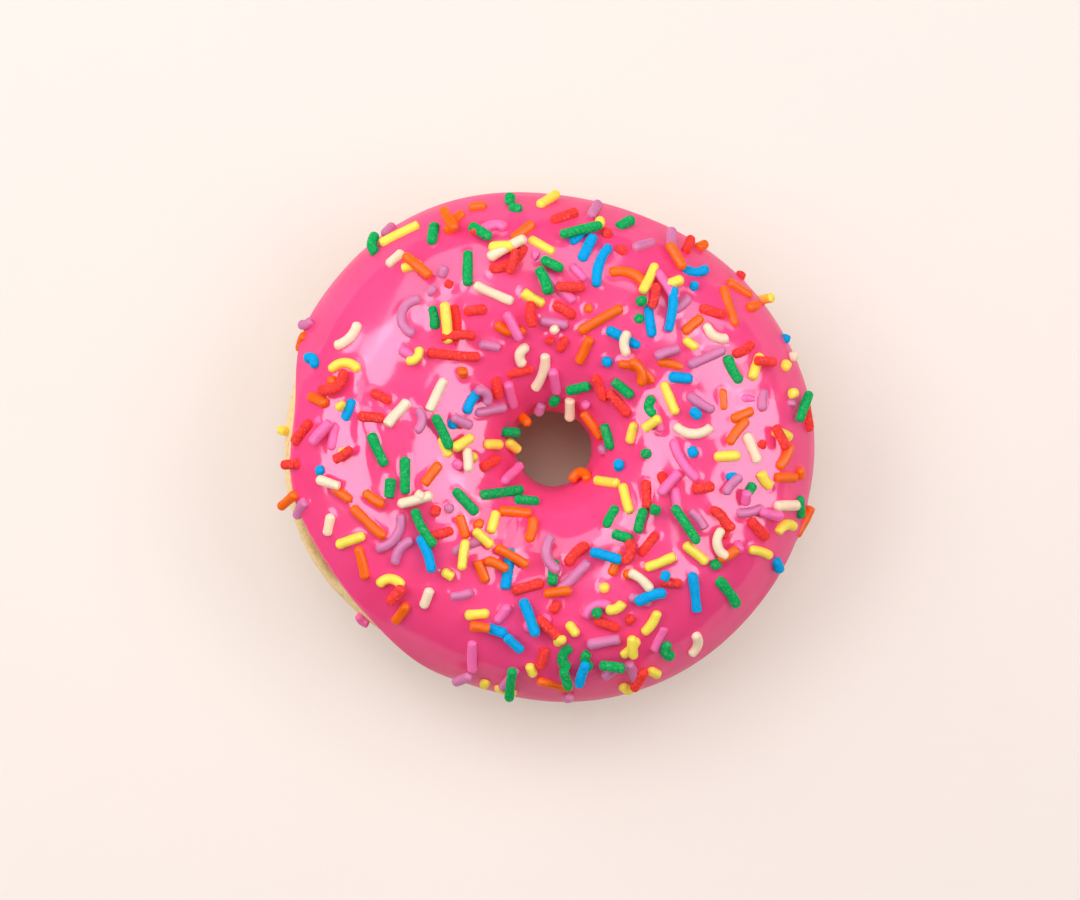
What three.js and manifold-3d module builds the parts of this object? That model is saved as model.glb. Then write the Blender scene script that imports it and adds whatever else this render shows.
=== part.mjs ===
// A sprinkle frosted doughnut: a fried ring of dough, and the icing that coats its top, runs over
// its edges and down into the hole, with sugar sprinkles stuck in it.
// Units are millimetres and +Z is up. The origin is on the table, under the middle of the whole.

import * as THREE from "three";
import { mergeVertices } from "three/addons/utils/BufferGeometryUtils.js";
import Module from "manifold-3d";

// The hole lies a little off the middle, and everything below is measured from its axis.
const HOLE_X = 0.83;
const HOLE_Y = -0.24;

// The dough: distances from the hole's axis, and heights above the table.
const DOUGH_RADIUS = 42.6;
const DOUGH_HOLE_RADIUS = 8.3;
const DOUGH_HEIGHT = 28.2;
const WAIST_HEIGHT = 13.8;
const BASE_DEPTH = 15.2; // of the round underside below the waist, before the table flattens it
const SECTION_POWER = 0.92; // 1 makes the section an ellipse, and less makes it squarer

// What makes the ring uneven: each wave has so many lobes round the ring, one of them toward
// the given heading.
const RIM_WAVES = [
  { lobes: 1, depth: 1.4, toward: 170 },
  { lobes: 2, depth: 1.6, toward: -14 },
  { lobes: 4, depth: 0.5, toward: 23 },
  { lobes: 5, depth: 0.2, toward: -14 },
];
const HOLE_WAVES = [
  { lobes: 2, depth: 0.25, toward: 150 },
  { lobes: 3, depth: 0.15, toward: 20 },
];
const TOP_WAVES = [
  { lobes: 2, depth: 0.4, toward: 10 },
  { lobes: 3, depth: 0.3, toward: 75 },
];

// The icing: its thickness, and the section angles where it ends outside and in the hole.
const CLEARANCE = 0.3; // between the icing and the dough
const ICING_TOP = 1.6;
const ICING_SIDE = 1.15;
const BEAD = 0.45; // the icing gathers in a bead along its edges
const BEAD_WIDTH = 2.4;
const LIP = 1.1; // the edge is rounded off over this width
const OUTER_EDGE = -4;
const INNER_EDGE = 183;
const OUTER_EDGE_WAVES = [
  { lobes: 3, depth: 4, toward: 75 },
  { lobes: 7, depth: 3, toward: 12 },
  { lobes: 11, depth: 1.5, toward: 5 },
];
const INNER_EDGE_WAVES = [
  { lobes: 2, depth: 4, toward: 60 },
  { lobes: 3, depth: 3, toward: 30 },
];
// Where the icing stops short and leaves the dough bare.
const BARE_HEADING = 198;
const BARE_SPREAD = 44;
const BARE_RISE = 35; // of the icing's edge, in degrees
const BARE_STEEPNESS = 4; // of the stretch's ends: 2 gives it a bell's shape, and more a flat top

// Folds and dents in the icing's top: middle, heading, half length, half width and height.
const FOLDS = [
  { x: -31.5, y: 4.5, heading: 95, length: 5, width: 1.1, height: 0.95 },
  { x: -22.5, y: 7, heading: -30, length: 3, width: 1.3, height: -0.5 },
  { x: -11.5, y: 2, heading: 68, length: 6, width: 1.6, height: 0.5 },
  { x: 17.5, y: 1, heading: 95, length: 9, width: 2, height: 0.6 },
  { x: 20.5, y: -8, heading: 100, length: 7, width: 2, height: -0.3 },
  { x: 17, y: 10, heading: 60, length: 3, width: 1.8, height: -0.6 },
  { x: 8, y: -15, heading: 32, length: 8, width: 2, height: 0.6 },
  { x: 3, y: -20.5, heading: 4, length: 10, width: 1.6, height: -0.5 },
  { x: -6, y: -14, heading: 85, length: 3.5, width: 1, height: 0.35 },
];

// Sprinkles.
const SPRINKLE_COUNT = 340;
const MODELLED_SPRINKLES = 160; // the longest of them, which are solid here
const SPRINKLE_RADIUS = 0.85;
const RADIUS_SPREAD = 0.06;
const SUNK = 0.3; // how much of its thickness lies in the icing
const PITCH = 1.75; // the least distance between two that lie side by side
const STACK_RISE = 1.3; // of one that lies across another
const STACKED_SHARE = 0.4;
const OVERHANG = 1.2; // how far past the dough's rim the middle line of a dropped one may reach
const BURIED = 0.8; // how much deeper than the others a few of them lie
const BURIED_POWER = 6; // the higher it is, the fewer they are
const SLIGHT_LEAN = 8; // how far any of them may lean
const STEEP_LEAN = 60; // how far one may lean that stands on its end
const STEEPEST = 40; // where the icing is steeper than this, a sprinkle stands off it
const STANDING_SHARE = 0.4; // of those that are short enough to stand
const LONGEST_STANDING = 3.2;
const SEED = 20417;
const COLOUR_SHARES = {
  green: 0.17, red: 0.19, yellow: 0.12, orange: 0.11,
  violet: 0.13, blue: 0.09, pink: 0.1, cream: 0.09,
};

// Broken bits, middling ones and long ones: their share, and their shortest and longest.
const LENGTHS = [
  { share: 0.15, from: 2.0, to: 3.2 },
  { share: 0.58, from: 4.1, to: 6.0 },
  { share: 0.27, from: 6.0, to: 8.2 },
];
const BENDS = [
  { share: 0.6, from: 0, to: 6 },
  { share: 0.28, from: 10, to: 35 },
  { share: 0.12, from: 50, to: 110 },
];

// Where the sprinkles lie thicker or thinner than elsewhere: middle, spread and change.
const HEAPS = [
  { x: 5, y: 19, spread: 8, change: 1.2 },
  { x: -10, y: 19, spread: 6, change: 0.8 },
  { x: -19, y: -12, spread: 7, change: 1.2 },
  { x: 31, y: -8, spread: 8, change: 1.1 },
  { x: 6, y: -32, spread: 7, change: 0.6 },
  { x: 0, y: 0, spread: 7, change: -0.9 },
  { x: 1, y: -14, spread: 6, change: -0.95 },
  { x: -22, y: 13, spread: 7, change: -0.5 },
  { x: -30, y: -28, spread: 9, change: -0.7 },
  { x: -42, y: -17, spread: 5, change: -1 },
  { x: -33, y: 26, spread: 8, change: -0.9 },
  { x: 30, y: -31, spread: 7, change: -0.8 },
];
const THICKEST = 2.2; // the greatest density that the heaps add up to
const RIM_THINNING = 0.55;
const RIM_BAND = 5;

// Sprinkles with a place of their own: x, y, heading, length, bend and lean.
const PLACED = {
  green: [
    [-30.1, 34.1, -88, 5.4, 70, 0],
    [-7.1, 41.7, 88, 3.0, 0, 0],
    [-6.1, 40.1, -12, 2.6, 0, 0],
    [-7.1, 2.7, -3, 4.2, 0, 0],
    [-24.6, -4.6, 90, 6.6, 0, 0],
    [-29.2, -0.3, -66, 6.4, 6, 0],
    [-8.6, -7.6, 7, 9.2, 4, 0],
    [-14.6, -9.0, -47, 6.0, 0, 0],
    [-14.1, 30.0, 90, 6.5, 0, 0],
    [9.5, 2.1, -74, 5.2, 0, 0],
    [4.5, 10.2, 14, 5.0, 0, 0],
    [11.8, 10.1, -38, 5.0, 0, 0],
    [-4.4, -9.0, -5, 4.9, 0, 0],
    [-19.9, 35.8, 82, 4.9, 0, 0],
  ],
  yellow: [
    [35.9, 25.4, -55, 4.2, 15, 75],
    [17.1, -37.6, -30, 3.4, 0, 0],
    [12.4, -40.3, -38, 3.2, 0, 0],
    [-25.4, 35.9, 26, 8.1, 0, 0],
    [-0.7, 41.6, 34, 5.6, 0, 0],
    [-10.1, 0.6, 0, 4.2, 0, 0],
    [-6.9, 0.4, -37, 4.0, 0, 0],
    [-34.6, 13.9, 0, 6.6, -85, 0],
    [19.7, 8.3, -67, 6.2, 0, 0],
    [9.3, -5.8, -8, 5.9, 0, 0],
    [12.5, -8.6, -76, 6.0, 8, 0],
    [39.0, -13.1, 20, 5.6, -85, 0],
    [18.1, -19.1, 22, 6.0, 8, 0],
    [-9.9, -12.5, 75, 4.5, 0, 0],
    [-45.2, 2.9, -20, 2.8, 0, 0],
    [-33.6, -15.4, 20, 5.9, 0, 0],
  ],
  orange: [
    [33.7, 23.7, 18, 3.4, 15, 0],
    [43.1, -12.4, 62, 6.5, 12, 0],
    [-44.2, -8.8, 40, 5.4, 0, 0],
    [-41.9, 18.0, 68, 4.5, -20, 0],
    [-12.5, 40.4, 8, 3.4, 0, 0],
    [25.1, 34.0, 25, 3.0, 0, 0],
    [5.1, -4.6, 0, 5.6, -140, 0],
    [8.1, 21.5, 29, 8.8, 0, 0],
    [-30.7, -12.4, -43, 8.0, 4, 0],
    [5.4, 16.3, 66, 5.8, 0, 0],
    [-5.0, 5.2, -46, 3.0, 0, 70],
    [6.9, 4.1, -55, 6.2, 0, 0],
    [-6.3, -10.9, -4, 6.2, 0, 0],
    [-31.7, -19.1, -78, 6.2, -8, 0],
    [39.0, -4.9, 0, 5.8, 0, 0],
    [31.7, 5.5, 25, 4.6, 0, 0],
    [30.9, 2.8, 52, 5.8, -15, 0],
  ],
  red: [
    [32.0, 29.3, 80, 2.4, 0, 30],
    [-43.6, -2.7, 8, 4.6, 0, 0],
    [22.9, 34.0, 69, 4.3, 8, 0],
    [-16.4, 15.5, -5, 9.5, 8, 0],
    [8.1, 10.2, -68, 5.4, 0, 0],
    [11.3, 7.6, -50, 5.8, 0, 0],
    [-10.6, -2.6, 30, 4.8, 0, 0],
    [-41.8, 2.6, 52, 5.6, 0, 0],
  ],
  blue: [
    [39.3, 18.3, 100, 2.2, 0, 40],
    [37.9, -19.7, -66, 3.6, 0, 0],
    [37.0, -25.0, 100, 2.2, 0, 50],
    [23.8, -24.2, -82, 7.8, 0, 0],
    [8.0, 30.5, -108, 8.4, 40, 0],
  ],
  cream: [
    [40.5, 15.3, 8, 2.2, 0, 0],
    [3.1, 6.8, 90, 5.3, 0, 0],
    [-33.9, 18.5, 45, 6.4, 60, 0],
    [23.7, 2.7, 0, 7.6, 85, 0],
    [-9.8, 25.8, -24, 7.6, 6, 0],
    [24.2, -32.7, -100, 5.8, -75, 0],
    [-26.2, 31.6, 40, 4.0, 0, 0],
    [-37.2, -12.8, 78, 4.2, 0, 0],
  ],
  violet: [
    [-42.0, -10.0, 60, 5.0, -30, 0],
    [-41.2, 20.8, 20, 3.8, 60, 0],
    [-27.6, 36.6, 47, 3.6, 0, 0],
    [-2.0, 6.9, 70, 3.3, 0, 0],
    [-24.4, 22.2, -100, 9.4, 150, 0],
    [-26.4, -14.6, -125, 8.5, -85, 0],
    [-25.3, -17.0, 55, 6.0, -60, 0],
    [25.8, 15.1, 24, 7.3, 0, 0],
    [2.7, -42.0, 60, 2.8, 60, 35],
    [8.8, -0.4, 80, 2.3, 0, 30],
  ],
  pink: [
    [-31.9, -29.0, -40, 3.4, 60, 0],
    [-7.1, 9.0, -76, 6.2, 0, 0],
    [21.9, -2.2, -58, 8.6, 35, 0],
  ],
};

// How finely the solids are cut up.
const COLUMNS = 56; // round the ring
const TOP_ROWS = 18; // of the icing's outside, between its rounded edges
const COVERED_ROWS = 8; // of the dough under the icing, and of the icing's inside
const BARE_ROWS = 8; // of the dough below the icing
const ROUNDED_ROW = 0.2; // one row lies this far into each rounded edge, as a share of its width
const SPRINKLE_SIDES = 6;
const TIP = 0.8; // a rounded end's length, in radii
const DEGREES_A_BEND = 60; // one more ring of points for each
const SLIVER = 0.01; // the finest detail kept where sprinkles are joined on

const FULL_TURN = 2 * Math.PI;
const SMALL_STEP = 0.004; // radians, to find slopes
const HALVINGS = 30; // to find a section angle
const MARKER_STEPS = 4; // between the points that stand for a sprinkle
const RANDOM_FACTOR = 48271;
const RANDOM_MODULUS = 2147483647;

const radians = THREE.MathUtils.degToRad;
const lerp = THREE.MathUtils.lerp;
const STEEPEST_SLOPE = Math.tan(radians(STEEPEST));

// A value that varies round the ring.
function wavy(mean, waves, heading) {
  let value = mean;
  for (const wave of waves) {
    value += wave.depth * Math.cos(wave.lobes * (heading - radians(wave.toward)));
  }
  return value;
}

function signedPower(value, exponent) {
  return Math.sign(value) * Math.abs(value) ** exponent;
}

function bell(distance, spread) {
  return Math.exp(-0.5 * (distance / spread) ** 2);
}

// ---- The dough's section ----

function rimAt(heading) {
  return wavy(DOUGH_RADIUS, RIM_WAVES, heading);
}

// Half the ring's width and its middle, at one heading.
function ringHalves(heading) {
  const outer = rimAt(heading);
  const inner = wavy(DOUGH_HOLE_RADIUS, HOLE_WAVES, heading);
  return { middle: (outer + inner) / 2, half: (outer - inner) / 2 };
}

// A point of the dough's section, as distance from the axis and height. The angle is 0 at the
// outer edge, a quarter turn on top, a half turn in the hole and three quarters underneath.
function doughPoint(heading, angle) {
  const { middle, half } = ringHalves(heading);
  const across = signedPower(Math.cos(angle), SECTION_POWER);
  const up = signedPower(Math.sin(angle), SECTION_POWER);
  const rise = up > 0 ? wavy(DOUGH_HEIGHT, TOP_WAVES, heading) - WAIST_HEIGHT : BASE_DEPTH;
  return new THREE.Vector2(middle + half * across, Math.max(WAIST_HEIGHT + rise * up, 0));
}

// The dough's section moved outwards by a thickness.
function coatedPoint(heading, angle, thickness) {
  const point = doughPoint(heading, angle);
  const ahead = doughPoint(heading, angle + SMALL_STEP);
  const along = ahead.sub(doughPoint(heading, angle - SMALL_STEP)).normalize();
  return new THREE.Vector2(point.x + along.y * thickness, point.y - along.x * thickness);
}

function inSpace(heading, point) {
  return new THREE.Vector3(Math.cos(heading) * point.x, Math.sin(heading) * point.x, point.y);
}

// ---- The icing's surface ----

function outerEdge(heading) {
  const edge = wavy(OUTER_EDGE, OUTER_EDGE_WAVES, heading);
  const turned = heading - radians(BARE_HEADING) + Math.PI;
  const away = THREE.MathUtils.euclideanModulo(turned, FULL_TURN) - Math.PI;
  const stretch = Math.exp(-(Math.abs(away / radians(BARE_SPREAD)) ** BARE_STEEPNESS));
  return radians(edge + BARE_RISE * stretch);
}

function innerEdge(heading) {
  return radians(wavy(INNER_EDGE, INNER_EDGE_WAVES, heading));
}

// How high the folds raise the icing at a place seen from above.
function foldHeight(x, y) {
  let height = 0;
  for (const fold of FOLDS) {
    const turn = radians(fold.heading);
    const along = (x - fold.x) * Math.cos(turn) + (y - fold.y) * Math.sin(turn);
    const across = (y - fold.y) * Math.cos(turn) - (x - fold.x) * Math.sin(turn);
    height += fold.height * bell(along, fold.length) * bell(across, fold.width);
  }
  return height;
}

// The icing's thickness at a section angle, which falls to nothing at its edges.
function icingThickness(heading, angle) {
  const { half } = ringHalves(heading);
  const fromEdge = Math.min(angle - outerEdge(heading), innerEdge(heading) - angle) * half;
  if (fromEdge <= 0) {
    return 0;
  }
  const upward = Math.max(Math.sin(angle), 0);
  const place = inSpace(heading, doughPoint(heading, angle));
  const body = lerp(ICING_SIDE, ICING_TOP, upward) + upward * foldHeight(place.x, place.y);
  const rounding = Math.sqrt(1 - Math.max(1 - fromEdge / LIP, 0) ** 2);
  return (body + BEAD * bell(fromEdge, BEAD_WIDTH)) * rounding;
}

function icingSection(heading, angle) {
  return coatedPoint(heading, angle, CLEARANCE + icingThickness(heading, angle));
}

function icingPoint(heading, angle) {
  return inSpace(heading, icingSection(heading, angle));
}

// The icing's outside at a heading and a section angle, with the way it faces.
function icingSpot(heading, angle) {
  const point = icingPoint(heading, angle);
  const round = icingPoint(heading + SMALL_STEP, angle).sub(icingPoint(heading - SMALL_STEP, angle));
  const over = icingPoint(heading, angle + SMALL_STEP).sub(icingPoint(heading, angle - SMALL_STEP));
  return { point, normal: round.cross(over).normalize() };
}

// The spot seen from above at x, y. Past the rim or inside the hole it is the nearest wall.
function spotFromAbove(x, y) {
  const heading = Math.atan2(y, x);
  const distance = Math.hypot(x, y);
  let outside = 0;
  let inside = Math.PI;
  for (let halving = 0; halving < HALVINGS; halving += 1) {
    const angle = (outside + inside) / 2;
    if (icingSection(heading, angle).x > distance) {
      outside = angle;
    } else {
      inside = angle;
    }
  }
  return icingSpot(heading, (outside + inside) / 2);
}

// ---- Solids from rings of points ----

// A closed surface round the ring: its columns go round the hole, and each is a closed loop.
// Each four-cornered patch is cut along its shorter diagonal.
function closedRing(columns, rows, pointAt) {
  const points = [];
  for (let column = 0; column < columns; column += 1) {
    for (let row = 0; row < rows; row += 1) {
      points.push(pointAt((FULL_TURN * column) / columns, row));
    }
  }
  const faces = [];
  points.forEach((point, first) => {
    const nextRow = (first % rows === rows - 1 ? 1 - rows : 1) + first;
    const nextColumn = (first + rows) % points.length;
    const opposite = (nextRow + rows) % points.length;
    if (point.distanceTo(points[opposite]) < points[nextRow].distanceTo(points[nextColumn])) {
      faces.push(first, nextColumn, opposite, first, opposite, nextRow);
    } else {
      faces.push(first, nextColumn, nextRow, nextColumn, opposite, nextRow);
    }
  });
  return geometryFrom(points.flatMap((point) => point.toArray()), faces);
}

function geometryFrom(positions, faces) {
  const geometry = new THREE.BufferGeometry();
  geometry.setAttribute("position", new THREE.Float32BufferAttribute(positions, 3));
  geometry.setIndex(faces);
  return geometry;
}

function coveredAngle(heading, row) {
  return lerp(outerEdge(heading), innerEdge(heading), row / COVERED_ROWS);
}

// The dough: first the rows under the icing, then the bare rows round the underside.
function doughGeometry() {
  return closedRing(COLUMNS, COVERED_ROWS + BARE_ROWS, (heading, row) => {
    if (row <= COVERED_ROWS) {
      return inSpace(heading, doughPoint(heading, coveredAngle(heading, row)));
    }
    const bare = (row - COVERED_ROWS) / BARE_ROWS;
    const angle = lerp(innerEdge(heading), outerEdge(heading) + FULL_TURN, bare);
    return inSpace(heading, doughPoint(heading, angle));
  });
}

// Section angles across the icing's outside, close together where its edges are rounded.
function outsideAngles(heading) {
  const { half } = ringHalves(heading);
  const lip = LIP / half;
  const edges = [outerEdge(heading), innerEdge(heading)];
  const angles = [edges[0], edges[0] + ROUNDED_ROW * lip];
  for (let row = 0; row <= TOP_ROWS; row += 1) {
    angles.push(lerp(edges[0] + lip, edges[1] - lip, row / TOP_ROWS));
  }
  angles.push(edges[1] - ROUNDED_ROW * lip, edges[1]);
  return angles;
}

// The icing: over its outside from edge to edge, then back along its inside.
function icingGeometry() {
  const outsideRows = outsideAngles(0).length;
  return closedRing(COLUMNS, outsideRows + COVERED_ROWS - 1, (heading, row) => {
    if (row < outsideRows) {
      return icingPoint(heading, outsideAngles(heading)[row]);
    }
    const angle = coveredAngle(heading, COVERED_ROWS - 1 - (row - outsideRows));
    return inSpace(heading, coatedPoint(heading, angle, CLEARANCE));
  });
}

// ---- Sprinkles ----

// A seeded run of numbers from 0 to 1.
function randomRun(seed) {
  let state = seed;
  return () => {
    state = (state * RANDOM_FACTOR) % RANDOM_MODULUS;
    return state / RANDOM_MODULUS;
  };
}

// Points along a sprinkle's middle line, with the way it runs at each, and its upward side.
function sprinkleSpine(sprinkle, steps) {
  const { x, y, length, radius, raise } = sprinkle;
  const heading = radians(sprinkle.heading);
  const bend = radians(sprinkle.bend);
  const lean = radians(sprinkle.lean);
  const { point: seat, normal } = spotFromAbove(x, y);
  const reach = length / 2 - radius;
  const along = new THREE.Vector3(Math.cos(heading), Math.sin(heading), 0).multiplyScalar(reach);
  const front = spotFromAbove(x + along.x, y + along.y).point.z;
  const back = spotFromAbove(x - along.x, y - along.y).point.z;
  const steepest = reach * STEEPEST_SLOPE;
  along.z = THREE.MathUtils.clamp((front - back) / 2, -steepest, steepest);
  seat.z = Math.max(lerp(seat.z, (front + back) / 2, 0.5), front - along.z, back + along.z);
  along.normalize();
  normal.z = Math.max(normal.z, Math.hypot(normal.x, normal.y) / STEEPEST_SLOPE);
  normal.addScaledVector(along, -normal.dot(along)).normalize();

  const side = normal.clone().cross(along);
  const run = along.clone().multiplyScalar(Math.cos(lean)).addScaledVector(normal, Math.sin(lean));
  const up = run.clone().cross(side);
  const middle = seat.addScaledVector(normal, radius * (1 - 2 * SUNK) * Math.cos(lean) + raise);
  middle.addScaledVector(run, reach * Math.sin(lean));

  const spine = [];
  const bulge = bend === 0 ? 0 : (1 - Math.sin(bend / 2) / (bend / 2)) / bend;
  for (let step = 0; step <= steps; step += 1) {
    const part = step / steps - 0.5;
    const turned = bend * part;
    const forward = bend === 0 ? part : Math.sin(turned) / bend;
    const sideways = bend === 0 ? 0 : (1 - Math.cos(turned)) / bend - bulge;
    const point = middle.clone().addScaledVector(run, 2 * reach * forward);
    point.addScaledVector(side, 2 * reach * sideways);
    const way = run.clone().multiplyScalar(Math.cos(turned)).addScaledVector(side, Math.sin(turned));
    spine.push({ point, way });
  }
  return { spine, up };
}

// A few points that stand for a sprinkle when its distance to others is measured.
function markersOf(sprinkle) {
  return sprinkleSpine(sprinkle, MARKER_STEPS).spine.map(({ point }) => point);
}

function nearest(markers, others) {
  let least = Infinity;
  for (const marker of markers) {
    for (const other of others) {
      least = Math.min(least, marker.distanceTo(other));
    }
  }
  return least;
}

function pickFrom(classes, draw) {
  let rest = draw;
  for (const choice of classes) {
    if (rest < choice.share) {
      return choice;
    }
    rest -= choice.share;
  }
  return classes[classes.length - 1];
}

function pickLength(classes, draw, where) {
  const choice = pickFrom(classes, draw);
  return lerp(choice.from, choice.to, where);
}

// How far a point lies past the dough's rim, seen from above.
function pastRim({ x, y }) {
  return Math.hypot(x, y) - rimAt(Math.atan2(y, x));
}

function density(x, y) {
  let value = 1 - RIM_THINNING * bell(Math.min(pastRim({ x, y }), 0), RIM_BAND);
  for (const heap of HEAPS) {
    value += heap.change * bell(Math.hypot(x - heap.x, y - heap.y), heap.spread);
  }
  return value / THICKEST;
}

// One sprinkle dropped anywhere on the ring, and whether it is welcome there and stackable.
function droppedSprinkle(random) {
  const colours = Object.entries(COLOUR_SHARES).map(([colour, share]) => ({ colour, share }));
  const heading = FULL_TURN * random();
  const rim = rimAt(heading) + ICING_SIDE;
  const hole = DOUGH_HOLE_RADIUS - ICING_SIDE;
  const distance = Math.sqrt(lerp(hole ** 2, rim ** 2, random()));
  const sprinkle = {
    x: distance * Math.cos(heading),
    y: distance * Math.sin(heading),
    colour: pickFrom(colours, random()).colour,
    heading: 360 * random(),
    length: pickLength(LENGTHS, random(), random()),
    bend: pickLength(BENDS, random(), random()) * Math.sign(random() - 0.5),
    radius: SPRINKLE_RADIUS + RADIUS_SPREAD * (2 * random() - 1),
    lean: SLIGHT_LEAN * random(),
    raise: -BURIED * random() ** BURIED_POWER,
  };
  const stands = random() < STANDING_SHARE && sprinkle.length < LONGEST_STANDING;
  sprinkle.lean += stands ? STEEP_LEAN * random() : 0;
  const welcome = random() < density(sprinkle.x, sprinkle.y);
  const stackable = random() < STACKED_SHARE;
  return { sprinkle, welcome, stackable };
}

function placedSprinkles() {
  const sprinkles = [];
  for (const [colour, rows] of Object.entries(PLACED)) {
    for (const [x, y, heading, length, bend, lean] of rows) {
      sprinkles.push({ x, y, colour, heading, length, bend, lean, radius: SPRINKLE_RADIUS, raise: 0 });
    }
  }
  return sprinkles;
}

// All the sprinkles: the placed ones first, then dropped ones that find room. A few lie across
// one that was dropped before.
function allSprinkles() {
  const random = randomRun(SEED);
  const sprinkles = placedSprinkles();
  const placed = sprinkles.length;
  const taken = sprinkles.map(markersOf);
  while (sprinkles.length < SPRINKLE_COUNT) {
    const { sprinkle, welcome, stackable } = droppedSprinkle(random);
    let markers = markersOf(sprinkle);
    if (!welcome || Math.max(...markers.map(pastRim)) > OVERHANG) {
      continue;
    }
    const isCrowded = taken.map((others) => nearest(markers, others) < PITCH);
    const crowding = isCrowded.filter(Boolean).length;
    if (crowding === 1 && stackable && !isCrowded.slice(0, placed).includes(true)) {
      sprinkle.raise = STACK_RISE;
      markers = markersOf(sprinkle);
    }
    if (crowding === 0 || sprinkle.raise > 0) {
      sprinkles.push(sprinkle);
      taken.push(markers);
    }
  }
  return sprinkles;
}

// A sprinkle as rings of points along its middle line, closed by a tip at each end.
function sprinkleGeometry(sprinkle) {
  const steps = 1 + Math.round(Math.abs(sprinkle.bend) / DEGREES_A_BEND);
  const { spine, up } = sprinkleSpine(sprinkle, steps);
  const positions = [];
  const faces = [];
  for (const { point, way } of spine) {
    const side = up.clone().cross(way);
    for (let corner = 0; corner < SPRINKLE_SIDES; corner += 1) {
      const turn = (FULL_TURN * corner) / SPRINKLE_SIDES;
      const rim = point.clone().addScaledVector(side, sprinkle.radius * Math.cos(turn));
      positions.push(...rim.addScaledVector(up, sprinkle.radius * Math.sin(turn)).toArray());
    }
  }
  const ends = [spine[0], spine[steps]];
  ends.forEach(({ point, way }, end) => {
    const tip = point.clone().addScaledVector(way, (end === 0 ? -TIP : TIP) * sprinkle.radius);
    positions.push(...tip.toArray());
  });
  const firstTip = SPRINKLE_SIDES * (steps + 1);
  const lastRing = SPRINKLE_SIDES * steps;
  for (let corner = 0; corner < SPRINKLE_SIDES; corner += 1) {
    const next = (corner + 1) % SPRINKLE_SIDES;
    for (let ring = 0; ring < lastRing; ring += SPRINKLE_SIDES) {
      const above = ring + SPRINKLE_SIDES;
      faces.push(ring + corner, ring + next, above + next, ring + corner, above + next, above + corner);
    }
    faces.push(firstTip, next, corner);
    faces.push(firstTip + 1, lastRing + corner, lastRing + next);
  }
  return geometryFrom(positions, faces);
}

// ---- Joining ----

const wasm = await Module();
wasm.setup();

function solidFrom(geometry) {
  const merged = mergeVertices(geometry);
  return new wasm.Manifold(
    new wasm.Mesh({
      numProp: 3,
      vertProperties: merged.attributes.position.array,
      triVerts: new Uint32Array(merged.index.array),
    }),
  );
}

// The icing with its sprinkles. A scrap that touches nothing is dropped, and so is a sealed
// hollow between sprinkles.
function icingWithSprinkles() {
  const longest = allSprinkles().sort((first, second) => second.length - first.length);
  let solid = solidFrom(icingGeometry());
  for (const sprinkle of longest.slice(0, MODELLED_SPRINKLES)) {
    solid = solid.add(solidFrom(sprinkleGeometry(sprinkle)));
  }
  const bodies = solid.simplify(SLIVER).decompose();
  bodies.sort((first, second) => second.volume() - first.volume());
  const { vertProperties, triVerts } = bodies[0].getMesh();
  return geometryFrom(vertProperties, [...triVerts]);
}

function namedMesh(name, geometry, look) {
  geometry.computeVertexNormals();
  const mesh = new THREE.Mesh(geometry, new THREE.MeshStandardMaterial(look));
  mesh.name = name;
  return mesh;
}

const doughnut = new THREE.Group();
doughnut.position.set(HOLE_X, HOLE_Y, 0);
doughnut.add(namedMesh("dough", doughGeometry(), { color: "#d59a52", roughness: 0.75 }));
doughnut.add(namedMesh("icing", icingWithSprinkles(), { color: "#f8407f", roughness: 0.2 }));

export default doughnut;
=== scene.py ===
# A sprinkle frosted doughnut seen from above: golden fried dough, glossy pink icing and sugar
# sprinkles of eight colours. Sizes are in millimetres, measured from the hole's axis and the
# table, and become metres when a mesh is made.

import math
from dataclasses import dataclass

import bpy
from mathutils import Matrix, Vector, kdtree, noise

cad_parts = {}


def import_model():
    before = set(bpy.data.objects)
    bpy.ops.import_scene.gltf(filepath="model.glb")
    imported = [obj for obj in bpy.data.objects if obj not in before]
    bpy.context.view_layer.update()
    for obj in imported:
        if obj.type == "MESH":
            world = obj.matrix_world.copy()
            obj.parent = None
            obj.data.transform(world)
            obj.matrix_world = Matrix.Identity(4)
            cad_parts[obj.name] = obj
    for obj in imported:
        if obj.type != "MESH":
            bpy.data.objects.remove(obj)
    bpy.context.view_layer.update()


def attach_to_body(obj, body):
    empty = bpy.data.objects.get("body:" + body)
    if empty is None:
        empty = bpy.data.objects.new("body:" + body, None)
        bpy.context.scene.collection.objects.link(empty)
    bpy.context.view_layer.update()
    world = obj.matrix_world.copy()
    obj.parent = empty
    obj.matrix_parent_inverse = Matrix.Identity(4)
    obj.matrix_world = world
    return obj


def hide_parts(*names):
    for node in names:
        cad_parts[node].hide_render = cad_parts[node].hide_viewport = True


MM = 0.001

# The hole lies a little off the middle, and everything below is measured from its axis.
HOLE = Vector((0.83, -0.24, 0.0))

# The dough: distances from the hole's axis, and heights above the table.
DOUGH_RADIUS = 42.6
DOUGH_HOLE_RADIUS = 8.3
DOUGH_HEIGHT = 28.2
WAIST_HEIGHT = 13.8
BASE_DEPTH = 15.2  # of the round underside below the waist, before the table flattens it
SECTION_POWER = 0.92  # 1 makes the section an ellipse, and less makes it squarer

# What makes the ring uneven. Each wave is: lobes round the ring, depth, heading of one lobe.
RIM_WAVES = [(1, 1.4, 170), (2, 1.6, -14), (4, 0.5, 23), (5, 0.2, -14)]
HOLE_WAVES = [(2, 0.25, 150), (3, 0.15, 20)]
TOP_WAVES = [(2, 0.4, 10), (3, 0.3, 75)]

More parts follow.
